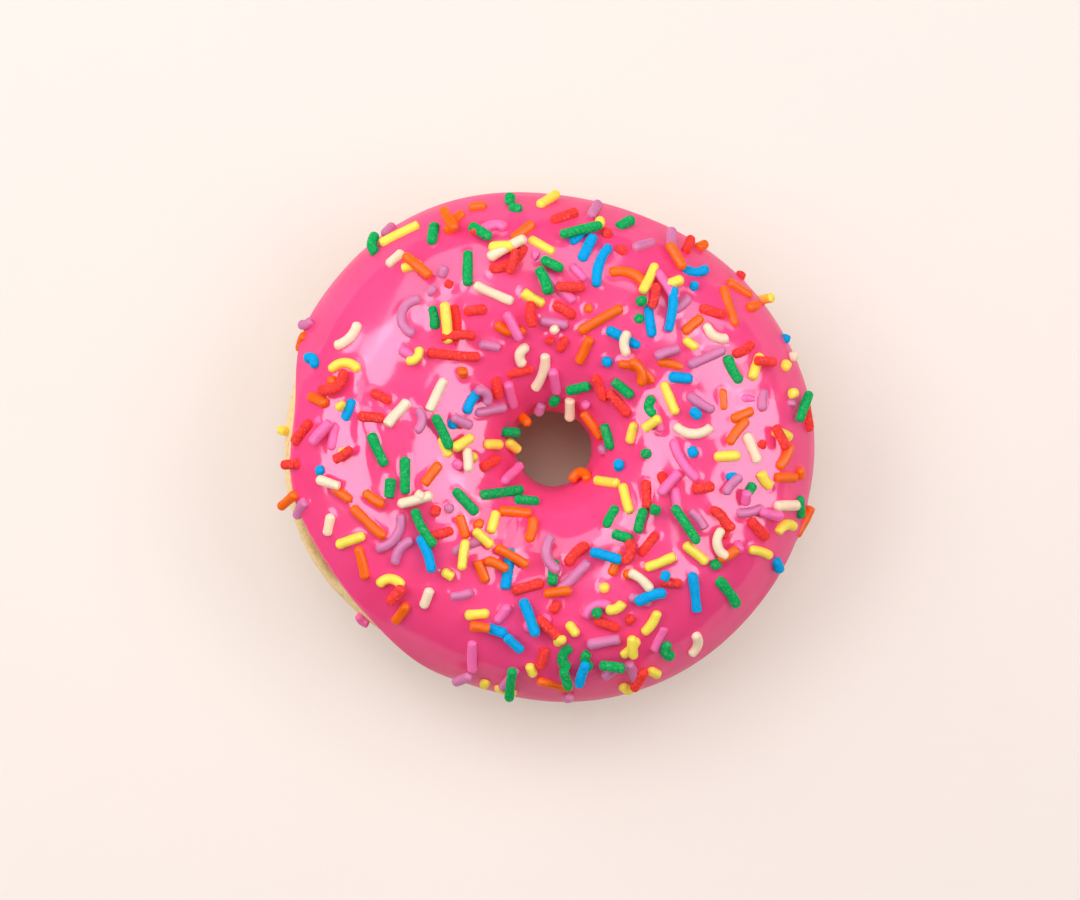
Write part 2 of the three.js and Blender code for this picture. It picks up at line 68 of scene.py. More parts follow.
# The icing: its thickness, and the section angles where it ends outside and in the hole.
CLEARANCE = 0.3  # between the icing's outside edge and the dough
ICING_TOP = 1.6
ICING_SIDE = 1.15
BEAD = 0.45  # the icing gathers in a bead along its edges
BEAD_WIDTH = 2.4
LIP = 1.1  # the edge is rounded off over this width
OUTER_EDGE = -4
INNER_EDGE = 183
OUTER_EDGE_WAVES = [(3, 4, 75), (7, 3, 12), (11, 1.5, 5)]
INNER_EDGE_WAVES = [(2, 4, 60), (3, 3, 30)]

# Where the icing stops short and leaves the dough bare.
BARE_HEADING = 198
BARE_SPREAD = 44
BARE_RISE = 35  # of the icing's edge, in degrees
BARE_STEEPNESS = 4  # of the stretch's ends: 2 gives it a bell's shape, and more a flat top

ROOTED = 0.3  # the icing's inside lies this deep in the dough

# Folds and dents in the icing's top: x, y, heading, half length, half width and height.
FOLDS = [
    (-31.5, 4.5, 95, 5, 1.1, 0.95),
    (-22.5, 7, -30, 3, 1.3, -0.5),
    (-11.5, 2, 68, 6, 1.6, 0.5),
    (17.5, 1, 95, 9, 2, 0.6),
    (20.5, -8, 100, 7, 2, -0.3),
    (17, 10, 60, 3, 1.8, -0.6),
    (8, -15, 32, 8, 2, 0.6),
    (3, -20.5, 4, 10, 1.6, -0.5),
    (-6, -14, 85, 3.5, 1, 0.35),
]

# Sprinkles.
SPRINKLE_COUNT = 340
SPRINKLE_RADIUS = 0.85
RADIUS_SPREAD = 0.06
SUNK = 0.3  # how much of its thickness lies in the icing
PITCH = 1.75  # the least distance between two that lie side by side
STACK_RISE = 1.3  # of one that lies across another
STACKED_SHARE = 0.4
OVERHANG = 1.2  # how far past the dough's rim the middle line of a dropped one may reach
BURIED = 0.8  # how much deeper than the others a few of them lie
BURIED_POWER = 6  # the higher it is, the fewer they are
SLIGHT_LEAN = 8  # how far any of them may lean
STEEP_LEAN = 60  # how far one may lean that stands on its end
STEEPEST = 40  # where the icing is steeper than this, a sprinkle stands off it
STANDING_SHARE = 0.4  # of those that are short enough to stand
LONGEST_STANDING = 3.2
SEED = 20417
COLOUR_SHARES = {
    "green": 0.17, "red": 0.19, "yellow": 0.12, "orange": 0.11,
    "violet": 0.13, "blue": 0.09, "pink": 0.1, "cream": 0.09,
}

# Broken bits, middling ones and long ones: share, shortest and longest. Bends are in degrees.
LENGTHS = [(0.15, 2.0, 3.2), (0.58, 4.1, 6.0), (0.27, 6.0, 8.2)]
BENDS = [(0.6, 0, 6), (0.28, 10, 35), (0.12, 50, 110)]

# Where the sprinkles lie thicker or thinner than elsewhere: x, y, spread and change.
HEAPS = [
    (5, 19, 8, 1.2),
    (-10, 19, 6, 0.8),
    (-19, -12, 7, 1.2),
    (31, -8, 8, 1.1),
    (6, -32, 7, 0.6),
    (0, 0, 7, -0.9),
    (1, -14, 6, -0.95),
    (-22, 13, 7, -0.5),
    (-30, -28, 9, -0.7),
    (-42, -17, 5, -1),
    (-33, 26, 8, -0.9),
    (30, -31, 7, -0.8),
]
THICKEST = 2.2  # the greatest density that the heaps add up to
RIM_THINNING = 0.55  # how much thinner the sprinkles lie at the rim
RIM_BAND = 5  # how far in from it that is felt

# Sprinkles with a place of their own: x, y, heading, length, bend and lean.
PLACED = {
    "green": [
        (-30.1, 34.1, -88, 5.4, 70, 0),
        (-7.1, 41.7, 88, 3.0, 0, 0),
        (-6.1, 40.1, -12, 2.6, 0, 0),
        (-7.1, 2.7, -3, 4.2, 0, 0),
        (-24.6, -4.6, 90, 6.6, 0, 0),
        (-29.2, -0.3, -66, 6.4, 6, 0),
        (-8.6, -7.6, 7, 9.2, 4, 0),
        (-14.6, -9.0, -47, 6.0, 0, 0),
        (-14.1, 30.0, 90, 6.5, 0, 0),
        (9.5, 2.1, -74, 5.2, 0, 0),
        (4.5, 10.2, 14, 5.0, 0, 0),
        (11.8, 10.1, -38, 5.0, 0, 0),
        (-4.4, -9.0, -5, 4.9, 0, 0),
        (-19.9, 35.8, 82, 4.9, 0, 0),
    ],
    "yellow": [
        (35.9, 25.4, -55, 4.2, 15, 75),
        (17.1, -37.6, -30, 3.4, 0, 0),
        (12.4, -40.3, -38, 3.2, 0, 0),
        (-25.4, 35.9, 26, 8.1, 0, 0),
        (-0.7, 41.6, 34, 5.6, 0, 0),
        (-10.1, 0.6, 0, 4.2, 0, 0),
        (-6.9, 0.4, -37, 4.0, 0, 0),
        (-34.6, 13.9, 0, 6.6, -85, 0),
        (19.7, 8.3, -67, 6.2, 0, 0),
        (9.3, -5.8, -8, 5.9, 0, 0),
        (12.5, -8.6, -76, 6.0, 8, 0),
        (39.0, -13.1, 20, 5.6, -85, 0),
        (18.1, -19.1, 22, 6.0, 8, 0),
        (-9.9, -12.5, 75, 4.5, 0, 0),
        (-45.2, 2.9, -20, 2.8, 0, 0),
        (-33.6, -15.4, 20, 5.9, 0, 0),
    ],
    "orange": [
        (33.7, 23.7, 18, 3.4, 15, 0),
        (43.1, -12.4, 62, 6.5, 12, 0),
        (-44.2, -8.8, 40, 5.4, 0, 0),
        (-41.9, 18.0, 68, 4.5, -20, 0),
        (-12.5, 40.4, 8, 3.4, 0, 0),
        (25.1, 34.0, 25, 3.0, 0, 0),
        (5.1, -4.6, 0, 5.6, -140, 0),
        (8.1, 21.5, 29, 8.8, 0, 0),
        (-30.7, -12.4, -43, 8.0, 4, 0),
        (5.4, 16.3, 66, 5.8, 0, 0),
        (-5.0, 5.2, -46, 3.0, 0, 70),
        (6.9, 4.1, -55, 6.2, 0, 0),
        (-6.3, -10.9, -4, 6.2, 0, 0),
        (-31.7, -19.1, -78, 6.2, -8, 0),
        (39.0, -4.9, 0, 5.8, 0, 0),
        (31.7, 5.5, 25, 4.6, 0, 0),
        (30.9, 2.8, 52, 5.8, -15, 0),
    ],
    "red": [
        (32.0, 29.3, 80, 2.4, 0, 30),
        (-43.6, -2.7, 8, 4.6, 0, 0),
        (22.9, 34.0, 69, 4.3, 8, 0),
        (-16.4, 15.5, -5, 9.5, 8, 0),
        (8.1, 10.2, -68, 5.4, 0, 0),
        (11.3, 7.6, -50, 5.8, 0, 0),
        (-10.6, -2.6, 30, 4.8, 0, 0),
        (-41.8, 2.6, 52, 5.6, 0, 0),
    ],
    "blue": [
        (39.3, 18.3, 100, 2.2, 0, 40),
        (37.9, -19.7, -66, 3.6, 0, 0),
        (37.0, -25.0, 100, 2.2, 0, 50),
        (23.8, -24.2, -82, 7.8, 0, 0),
        (8.0, 30.5, -108, 8.4, 40, 0),
    ],
    "cream": [
        (40.5, 15.3, 8, 2.2, 0, 0),
        (3.1, 6.8, 90, 5.3, 0, 0),
        (-33.9, 18.5, 45, 6.4, 60, 0),
        (23.7, 2.7, 0, 7.6, 85, 0),
        (-9.8, 25.8, -24, 7.6, 6, 0),
        (24.2, -32.7, -100, 5.8, -75, 0),
        (-26.2, 31.6, 40, 4.0, 0, 0),
        (-37.2, -12.8, 78, 4.2, 0, 0),
    ],
    "violet": [
        (-42.0, -10.0, 60, 5.0, -30, 0),
        (-41.2, 20.8, 20, 3.8, 60, 0),
        (-27.6, 36.6, 47, 3.6, 0, 0),
        (-2.0, 6.9, 70, 3.3, 0, 0),
        (-24.4, 22.2, -100, 9.4, 150, 0),
        (-26.4, -14.6, -125, 8.5, -85, 0),
        (-25.3, -17.0, 55, 6.0, -60, 0),
        (25.8, 15.1, 24, 7.3, 0, 0),
        (2.7, -42.0, 60, 2.8, 60, 35),
        (8.8, -0.4, 80, 2.3, 0, 30),
    ],
    "pink": [
        (-31.9, -29.0, -40, 3.4, 60, 0),
        (-7.1, 9.0, -76, 6.2, 0, 0),
        (21.9, -2.2, -58, 8.6, 35, 0),
    ],
}

STEEPEST_SLOPE = math.tan(math.radians(STEEPEST))

# How finely the meshes are cut up.
ICING_COLUMNS = 440  # round the ring
ICING_TOP_ROWS = 180  # over the outside, between its rounded edges
LIP_ROWS = 5  # across each rounded edge
ICING_ROOT_ROWS = 24  # along the inside, where it isn't seen
DOUGH_COLUMNS = 420
DOUGH_ROWS = 180
SMALL_STEP = 0.004  # radians, to find slopes
HALVINGS = 30  # to find a section angle
MARKER_STEPS = 4  # between the points that stand for a sprinkle
RANDOM_FACTOR = 48271
RANDOM_MODULUS = 2147483647

# The dough's skin: fine wrinkles and pits, over slight lumps.
WRINKLE = 0.1
WRINKLE_SIZE = 1.1
WRINKLE_DETAIL = (1, 2, 3)  # how fast finer wrinkles fade, how much finer each is, and how many
LUMP = 0.12
LUMP_SIZE = 6.0

# The icing climbs a little up each sprinkle that lies in it.
MENISCUS = 0.07
MENISCUS_WIDTH = 0.3
MENISCUS_STEPS = 14

# Sprinkle meshes.
SPRINKLE_SIDES = 22
RING_STEP = 0.26
TIP_RINGS = 5
ROUND_TIP = 0.85  # an end's length, in radii
CUT_TIP = 0.45  # that of an end that was broken off
CUT_SHARE = 0.2
GRAIN = {"green": 0.035, "red": 0.04, "blue": 0.03}
SMOOTH_GRAIN = 0.012  # of the other colours
GRAIN_SIZE = 0.32
UNEVENNESS = 0.13  # of the thickness along a sprinkle, as a share of its radius
UNEVEN_SIZE = 2.2


def wavy(mean, waves, heading):
    """A value that varies round the ring."""
    value = mean
    for lobes, depth, toward in waves:
        value += depth * math.cos(lobes * (heading - math.radians(toward)))
    return value


def signed_power(value, exponent):
    return math.copysign(abs(value) ** exponent, value)


def bell(distance, spread):
    return math.exp(-0.5 * (distance / spread) ** 2)


def lerp(low, high, part):
    return low + (high - low) * part


# ---- The dough's section ----


def rim_at(heading):
    return wavy(DOUGH_RADIUS, RIM_WAVES, heading)


def ring_halves(heading):
    """The middle and half the width of the ring at one heading."""
    outer = rim_at(heading)
    inner = wavy(DOUGH_HOLE_RADIUS, HOLE_WAVES, heading)
    return (outer + inner) / 2, (outer - inner) / 2


def dough_point(heading, angle):
    """A point of the dough's section, as distance from the axis and height. The angle is 0 at
    the outer edge, a quarter turn on top, a half turn in the hole, three quarters underneath."""
    middle, half = ring_halves(heading)
    across = signed_power(math.cos(angle), SECTION_POWER)
    up = signed_power(math.sin(angle), SECTION_POWER)
    rise = wavy(DOUGH_HEIGHT, TOP_WAVES, heading) - WAIST_HEIGHT if up > 0 else BASE_DEPTH
    return middle + half * across, max(WAIST_HEIGHT + rise * up, 0)


def coated_point(heading, angle, thickness):
    """The dough's section moved outwards by a thickness."""
    distance, height = dough_point(heading, angle)
    ahead = dough_point(heading, angle + SMALL_STEP)
    behind = dough_point(heading, angle - SMALL_STEP)
    run, climb = ahead[0] - behind[0], ahead[1] - behind[1]
    slope = math.hypot(run, climb)
    return distance + climb / slope * thickness, height - run / slope * thickness


def in_space(heading, point):
    distance, height = point
    return Vector((math.cos(heading) * distance, math.sin(heading) * distance, height))


# ---- The icing's surface ----


def outer_edge(heading):
    edge = wavy(OUTER_EDGE, OUTER_EDGE_WAVES, heading)
    away = (heading - math.radians(BARE_HEADING) + math.pi) % math.tau - math.pi
    stretch = math.exp(-(abs(away / math.radians(BARE_SPREAD)) ** BARE_STEEPNESS))
    return math.radians(edge + BARE_RISE * stretch)


def inner_edge(heading):
    return math.radians(wavy(INNER_EDGE, INNER_EDGE_WAVES, heading))


def fold_height(x, y):
    """How high the folds raise the icing at a place seen from above."""
    height = 0
    for fold_x, fold_y, toward, length, width, rise in FOLDS:
        turn = math.radians(toward)
        along = (x - fold_x) * math.cos(turn) + (y - fold_y) * math.sin(turn)
        across = (y - fold_y) * math.cos(turn) - (x - fold_x) * math.sin(turn)
        height += rise * bell(along, length) * bell(across, width)
    return height


def icing_thickness(heading, angle):
    """The icing's thickness at a section angle, which falls to nothing at its edges."""
    _, half = ring_halves(heading)
    from_edge = min(angle - outer_edge(heading), inner_edge(heading) - angle) * half
    if from_edge <= 0:
        return 0
    upward = max(math.sin(angle), 0)
    place = in_space(heading, dough_point(heading, angle))
    body = lerp(ICING_SIDE, ICING_TOP, upward) + upward * fold_height(place.x, place.y)
    rounding = math.sqrt(1 - max(1 - from_edge / LIP, 0) ** 2)
    return (body + BEAD * bell(from_edge, BEAD_WIDTH)) * rounding


def icing_section(heading, angle):
    return coated_point(heading, angle, CLEARANCE + icing_thickness(heading, angle))


def icing_spot(heading, angle):
    """The icing's outside at a heading and a section angle, with the way it faces."""
    point = in_space(heading, icing_section(heading, angle))
    left = in_space(heading + SMALL_STEP, icing_section(heading + SMALL_STEP, angle))
    right = in_space(heading - SMALL_STEP, icing_section(heading - SMALL_STEP, angle))
    ahead = in_space(heading, icing_section(heading, angle + SMALL_STEP))
    behind = in_space(heading, icing_section(heading, angle - SMALL_STEP))
    return point, (left - right).cross(ahead - behind).normalized()


def spot_from_above(x, y):
    """The spot seen from above at x, y. Past the rim or inside the hole it is the nearest wall."""
    heading = math.atan2(y, x)
    distance = math.hypot(x, y)
    outside, inside = 0, math.pi
    for _ in range(HALVINGS):
        angle = (outside + inside) / 2
        if icing_section(heading, angle)[0] > distance:
            outside = angle
        else:
            inside = angle
    return icing_spot(heading, (outside + inside) / 2)


# ---- Sprinkles ----


@dataclass
class Sprinkle:
    """A sprinkle seen from above: where its middle lies, and its shape. Angles are in degrees."""

    x: float
    y: float
    colour: str
    heading: float
    length: float
    bend: float
    lean: float
    radius: float = SPRINKLE_RADIUS
    lift: float = 0


def random_run(seed):
    """A seeded run of numbers from 0 to 1."""
    state = seed
    while True:
        state = state * RANDOM_FACTOR % RANDOM_MODULUS
        yield state / RANDOM_MODULUS


def spine_of(sprinkle, steps):
    """Points along a sprinkle's middle line, with the way it runs at each, and its upward side."""
    heading = math.radians(sprinkle.heading)
    bend = math.radians(sprinkle.bend)
    lean = math.radians(sprinkle.lean)
    seat, normal = spot_from_above(sprinkle.x, sprinkle.y)
    reach = sprinkle.length / 2 - sprinkle.radius
    along = Vector((math.cos(heading), math.sin(heading), 0)) * reach
    front = spot_from_above(sprinkle.x + along.x, sprinkle.y + along.y)[0].z
    back = spot_from_above(sprinkle.x - along.x, sprinkle.y - along.y)[0].z
    steepest = reach * STEEPEST_SLOPE
    along.z = min(max((front - back) / 2, -steepest), steepest)
    seat.z = max(lerp(seat.z, (front + back) / 2, 0.5), front - along.z, back + along.z)
    along.normalize()
    normal.z = max(normal.z, math.hypot(normal.x, normal.y) / STEEPEST_SLOPE)
    normal = (normal - along * normal.dot(along)).normalized()

    side = normal.cross(along)
    run = along * math.cos(lean) + normal * math.sin(lean)
    up = run.cross(side)
    height = sprinkle.radius * (1 - 2 * SUNK) * math.cos(lean) + sprinkle.lift
    middle = seat + normal * height + run * (reach * math.sin(lean))

    spine = []
    bulge = (1 - math.sin(bend / 2) / (bend / 2)) / bend if bend else 0
    for step in range(steps + 1):
        part = step / steps - 0.5
        turned = bend * part
        forward = math.sin(turned) / bend if bend else part
        sideways = (1 - math.cos(turned)) / bend - bulge if bend else 0
        point = middle + run * (2 * reach * forward) + side * (2 * reach * sideways)
        spine.append((point, run * math.cos(turned) + side * math.sin(turned)))
    return spine, up


def markers_of(sprinkle):
    """A few points that stand for a sprinkle when its distance to others is measured."""
    spine, _ = spine_of(sprinkle, MARKER_STEPS)
    return [point for point, _ in spine]


def nearest(markers, others):
    return min((marker - other).length for marker in markers for other in others)


def pick_from(choices, draw):
    """The choice that a draw from 0 to 1 falls on. Each choice begins with its share."""
    for choice in choices:
        if draw < choice[0]:
            return choice
        draw -= choice[0]
    return choices[-1]


def pick_length(classes, draw, where):
    _, shortest, longest = pick_from(classes, draw)
    return lerp(shortest, longest, where)


def past_rim(x, y):
    """How far a point lies past the dough's rim, seen from above."""
    return math.hypot(x, y) - rim_at(math.atan2(y, x))


def density(x, y):
    value = 1 - RIM_THINNING * bell(min(past_rim(x, y), 0), RIM_BAND)
    for heap_x, heap_y, spread, change in HEAPS:
        value += change * bell(math.hypot(x - heap_x, y - heap_y), spread)
    return value / THICKEST


def dropped_sprinkle(draws):
    """One sprinkle dropped anywhere on the ring, and whether it is welcome there and stackable."""
    colours = [(share, colour) for colour, share in COLOUR_SHARES.items()]
    heading = math.tau * next(draws)
    rim = rim_at(heading) + ICING_SIDE
    hole = DOUGH_HOLE_RADIUS - ICING_SIDE
    distance = math.sqrt(lerp(hole**2, rim**2, next(draws)))
    sprinkle = Sprinkle(
        x=distance * math.cos(heading),
        y=distance * math.sin(heading),
        colour=pick_from(colours, next(draws))[1],
        heading=360 * next(draws),
        length=pick_length(LENGTHS, next(draws), next(draws)),
        bend=pick_length(BENDS, next(draws), next(draws)) * math.copysign(1, next(draws) - 0.5),
        radius=SPRINKLE_RADIUS + RADIUS_SPREAD * (2 * next(draws) - 1),
        lean=SLIGHT_LEAN * next(draws),
        lift=-BURIED * next(draws) ** BURIED_POWER,
    )
    stands = next(draws) < STANDING_SHARE and sprinkle.length < LONGEST_STANDING
    if stands:
        sprinkle.lean += STEEP_LEAN * next(draws)
    welcome = next(draws) < density(sprinkle.x, sprinkle.y)
    stackable = next(draws) < STACKED_SHARE
    return sprinkle, welcome, stackable


def placed_sprinkles():
    sprinkles = []
    for colour, rows in PLACED.items():
        for x, y, heading, length, bend, lean in rows:
            sprinkles.append(Sprinkle(x, y, colour, heading, length, bend, lean))
    return sprinkles


def all_sprinkles():
    """The placed sprinkles first, then dropped ones that find room. A few lie across one that was
    dropped before."""
    draws = random_run(SEED)
    sprinkles = placed_sprinkles()
    placed = len(sprinkles)
    taken = [markers_of(sprinkle) for sprinkle in sprinkles]
    while len(sprinkles) < SPRINKLE_COUNT:
        sprinkle, welcome, stackable = dropped_sprinkle(draws)
        if not welcome:
            continue
        markers = markers_of(sprinkle)
        if max(past_rim(marker.x, marker.y) for marker in markers) > OVERHANG:
            continue
        is_crowded = [nearest(markers, others) < PITCH for others in taken]
        if sum(is_crowded) == 1 and stackable and not any(is_crowded[:placed]):
            sprinkle.lift = STACK_RISE
            markers = markers_of(sprinkle)
        if not any(is_crowded) or sprinkle.lift > 0:
            sprinkles.append(sprinkle)
            taken.append(markers)
    return sprinkles


# ---- Meshes ----


def piece_from(name, points, faces):
    """A smooth piece from points in millimetres round the hole's axis."""
    mesh = bpy.data.meshes.new(name)
    mesh.from_pydata([(point + HOLE) * MM for point in points], [], faces)
    mesh.shade_smooth()
    piece = bpy.data.objects.new(name, mesh)
    bpy.context.scene.collection.objects.link(piece)
    return piece


def ring_faces(columns, rows):
    """The faces of a closed ring: its columns go round the hole, and each is a closed loop."""
    faces = []
    for column in range(columns):
        here, there = column * rows, (column + 1) % columns * rows
        for row in range(rows):
            after = (row + 1) % rows
            faces.append((here + row, there + row, there + after, here + after))
    return faces


def make_dough():
    """The fried ring, with a wrinkled skin."""
    points = []
    for column in range(DOUGH_COLUMNS):
        heading = math.tau * column / DOUGH_COLUMNS
        for row in range(DOUGH_ROWS):
            angle = math.tau * row / DOUGH_ROWS
            place = in_space(heading, dough_point(heading, angle))
            relief = WRINKLE * noise.fractal(place / WRINKLE_SIZE, *WRINKLE_DETAIL)
            relief += LUMP * noise.noise(place / LUMP_SIZE)
            distance, height = coated_point(heading, angle, relief)
            points.append(in_space(heading, (distance, max(height, 0))))
    return piece_from("fried_dough", points, ring_faces(DOUGH_COLUMNS, DOUGH_ROWS))


def outside_angles(heading):
    """Section angles across the icing's outside, close together where its edges are rounded."""
    _, half = ring_halves(heading)
    lip = LIP / half
    low, high = outer_edge(heading), inner_edge(heading)
    shares = [(row / LIP_ROWS) ** 2 for row in range(LIP_ROWS)]
    angles = [low + lip * share for share in shares]
    steps = [row / ICING_TOP_ROWS for row in range(ICING_TOP_ROWS + 1)]
    angles += [lerp(low + lip, high - lip, step) for step in steps]
    return angles + [high - lip * share for share in reversed(shares)]


def meniscus_tree(sprinkles):
    """Where the sprinkles' middle lines run, for finding how near each icing point is to one."""
    lying = [sprinkle for sprinkle in sprinkles if sprinkle.lift <= 0]
    tree = kdtree.KDTree(len(lying) * (MENISCUS_STEPS + 1))
    for place, sprinkle in enumerate(lying):
        spine, _ = spine_of(sprinkle, MENISCUS_STEPS)
        for step, (point, _) in enumerate(spine):
            tree.insert(point, place * (MENISCUS_STEPS + 1) + step)
    tree.balance()
    return tree


def make_icing(sprinkles):
    """The icing over its outside from edge to edge, then back along its inside in the dough."""
    tree = meniscus_tree(sprinkles)
    points = []
    for column in range(ICING_COLUMNS):
        heading = math.tau * column / ICING_COLUMNS
        angles = outside_angles(heading)
        for angle in angles:
            thickness = icing_thickness(heading, angle)
            point = in_space(heading, coated_point(heading, angle, CLEARANCE + thickness))
            _, _, distance = tree.find(point)
            climb = MENISCUS * bell(max(distance - SPRINKLE_RADIUS, 0), MENISCUS_WIDTH)
            climb *= thickness / ICING_SIDE
            surface = coated_point(heading, angle, CLEARANCE + thickness + climb)
            points.append(in_space(heading, surface))
        for row in range(ICING_ROOT_ROWS - 1, 0, -1):
            angle = lerp(angles[0], angles[-1], row / ICING_ROOT_ROWS)
            points.append(in_space(heading, coated_point(heading, angle, -ROOTED)))
    rows = len(points) // ICING_COLUMNS
    return piece_from("pink_icing", points, ring_faces(ICING_COLUMNS, rows))


def sprinkle_rings(sprinkle, tips):
    """Rings along a sprinkle as (middle, way, share of the radius), drawn in at both ends."""
    reach = sprinkle.length / 2 - sprinkle.radius
    steps = max(2, round(2 * reach / RING_STEP))
    spine, up = spine_of(sprinkle, steps)
    rings = [(point, way, 1) for point, way in spine]
    for tip, end in zip(tips, (-1, 1)):
        point, way, _ = rings[0] if end < 0 else rings[-1]
        for ring in range(1, TIP_RINGS + 1):
            turn = math.pi / 2 * ring / (TIP_RINGS + 1)
            moved = point + way * (end * tip * sprinkle.radius * math.sin(turn))
            if end < 0:
                rings.insert(0, (moved, way, math.cos(turn)))
            else:
                rings.append((moved, way, math.cos(turn)))
    return rings, up


def add_sprinkle(sprinkle, draws, points, faces):
    """One sprinkle's rings and the two faces that close it, with sugar grain pressed into it."""
    tips = [CUT_TIP if next(draws) < CUT_SHARE else ROUND_TIP for _ in range(2)]
    rings, up = sprinkle_rings(sprinkle, tips)
    grain = GRAIN.get(sprinkle.colour, SMOOTH_GRAIN)
    first = len(points)
    for middle, way, share in rings:
        side = up.cross(way)
        for corner in range(SPRINKLE_SIDES):
            turn = math.tau * corner / SPRINKLE_SIDES
            outward = side * math.cos(turn) + up * math.sin(turn)
            rough = middle + outward * (sprinkle.radius * share)
            swell = 1 + UNEVENNESS * noise.noise(rough / UNEVEN_SIZE)
            pressed = grain * noise.noise(rough / GRAIN_SIZE)
            points.append(middle + outward * (sprinkle.radius * share * swell + pressed))
    for column in range(len(rings) - 1):
        for corner in range(SPRINKLE_SIDES):
            after = (corner + 1) % SPRINKLE_SIDES
            low, high = first + column * SPRINKLE_SIDES, first + (column + 1) * SPRINKLE_SIDES
            faces.append((low + corner, low + after, high + after, high + corner))
    last = len(points) - SPRINKLE_SIDES
    faces.append(tuple(first + corner for corner in reversed(range(SPRINKLE_SIDES))))
    faces.append(tuple(last + corner for corner in range(SPRINKLE_SIDES)))


def make_sprinkles(colour, sprinkles):
    """All the sprinkles of one colour as one piece."""
    draws = random_run(SEED)
    points, faces = [], []
    for sprinkle in sprinkles:
        add_sprinkle(sprinkle, draws, points, faces)
    return piece_from(f"{colour}_sprinkles", points, faces)


# ---- Materials ----

# Colours are linear. Those of the crust run from its pale belt to its fried underside.
CRUST_PALE = (0.98, 0.74, 0.33, 1)
CRUST_GOLDEN = (0.56, 0.27, 0.075, 1)
CRUST_DARK = (0.3, 0.11, 0.025, 1)
ICING_PINK = (0.97, 0.074, 0.25, 1)
ICING_DEEP = (0.94, 0.063, 0.218, 1)
COLOURS = {
    "green": (0.001, 0.42, 0.1, 1),
    "red": (0.96, 0.049, 0.04, 1),
    "yellow": (0.98, 0.76, 0.086, 1),
    "orange": (0.97, 0.15, 0.001, 1),
    "violet": (0.66, 0.2, 0.4, 1),
    "blue": (0.001, 0.4, 0.82, 1),
    "pink": (0.95, 0.165, 0.44, 1),
    "cream": (0.93, 0.74, 0.52, 1),
}

# Noise runs from 0 to 1 and mostly stays near its middle. These stretches of it are made use of.
NOISE_BROAD = (0.3, 0.7)
NOISE_MIDDLE = (0.35, 0.65)
NOISE_LOW = (0.3, 0.5)
NOISE_HIGH = (0.52, 0.75)

# The crust: the pale belt round it, then the sizes of its patches, browned specks and pits.
BELT_HEIGHT = 14.0  # of its middle
BELT_REACH = 9.0  # up and down from there
BELT_PALEST = (0.3, 0.8)  # where it is palest, as shares of its whole width
BELT_WANDER = 2.0  # how far it strays up and down
HOLE_SIDE = 18.0  # within this distance of the axis there is no belt
OUTER_SIDE = 28.0  # and from this distance on it shows fully
CRUST_PATCH = 9.0
CRUST_SPECK = 2.2
CRUST_PIT = 0.7
BROWNEST = 0.4  # painted shade: the greatest share of the dark colour in a pit, where the bump sinks
PIT_SHADE = 0.3  # and in a pit
CRUST_ROUGHNESS = (0.45, 0.62)
CRUST_RELIEF = 0.16

# The icing: the sizes of the faint clouds in its colour, the changes in its sheen, and its ripples.
ICING_CLOUD = 14.0
ICING_SHEEN = 5.0
ICING_RIPPLE = 1.6
ICING_ROUGHNESS = (0.3, 0.38)
ICING_RELIEF = 0.03
DULL_BELOW = 19.0  # its gloss fades down its sides, from full to nearly none
GLOSSY_ABOVE = 26.0
LEAST_GLOSS = 0.1

# The sprinkles' sugar: the sizes of its specks, clouds and pimples, and how pale the specks are.
SUGAR_SPECK = 0.45
SUGAR_CLOUD = 1.8
SUGAR_PIMPLE = 0.22
SPECKS = {"green": 0.14, "red": 0.12, "blue": 0.005}  # how far toward white
SMOOTH_SPECKS = 0.006  # those of the other colours
MOTTLING = (0.2, 0.8)  # how much the specks show, at least and at most

# The studio, in metres and watts. Each light: azimuth, elevation, distance, width, height, watts.
# The softboxes give light without reflections, and the shines give reflections alone.
FLOOR_SIZE = 12.0
FLOOR_COLOUR = (0.63, 0.56, 0.51, 1)
FLOOR_SHADE = (0.62, 0.55, 0.5, 1)
FLOOR_PAINTED_BOUNCE = (0.98, 0.75, 0.6, 1)  # under the doughnut: painted warm light bounced off the dough's walls, where the sheet doesn't glow
FLOOR_CLOUD = 60  # in millimetres
# The sheet's glow is painted light that lightens the doughnut's shadow on it, from the rim
# outwards.
GLOW_COLOUR = (0.9, 0.8, 0.73, 1)
GLOW_STRENGTH = 0.3
GLOW_EDGES = (0.02, 0.042)  # distances from the hole's axis where the glow begins and is full
FAR_STRENGTH = 0.95  # far out, past the softboxes' light, it grows so that the sheet stays pale
FAR_EDGES = (0.14, 0.7)
LIGHT_COLOUR = (0.98, 0.98, 1.0)
SHINE_COLOUR = (0.95, 0.8, 1.0)
SOFTBOXES = {
    "over": (95, 73, 0.8, 0.35, 0.35, 1.2),
    "top": (100, 52, 0.7, 0.7, 0.35, 0.85),
    "left": (163, 50, 0.7, 0.7, 0.35, 2.6),
    "right": (15, 50, 0.7, 0.7, 0.35, 2.3),
    "bottom": (-90, 60, 0.7, 0.7, 0.35, 0.6),
    "low": (140, 20, 0.7, 0.6, 0.3, 0.8),
}
SHINES = {
    "left_shine": (171, 55, 0.6, 0.42, 0.54, 7.8),
    "right_shine": (0, 47, 0.6, 0.42, 0.78, 10.5),
    "top_shine": (100, 49, 0.7, 0.6, 0.42, 3.8),
    "far_shine": (42, 45, 0.6, 0.3, 0.3, 1.6),
}
FILL_COLOUR = (1.0, 0.97, 0.95, 1)
FILL_STRENGTH = 0.08

# The camera, in millimetres: the width it sees at the waist, and where in that the hole lies.
CAMERA_DISTANCE = 1200
FIELD_WIDTH = 183.06
HOLE_IN_VIEW = Vector((2.03, 0.34, 0))
NEAREST_SEEN = 50
FARTHEST_SEEN = 10000

# A colour mix node's sockets: it has others of the same names for numbers and vectors.
MIX_INPUTS = (0, 6, 7)
MIX_RESULT = 2


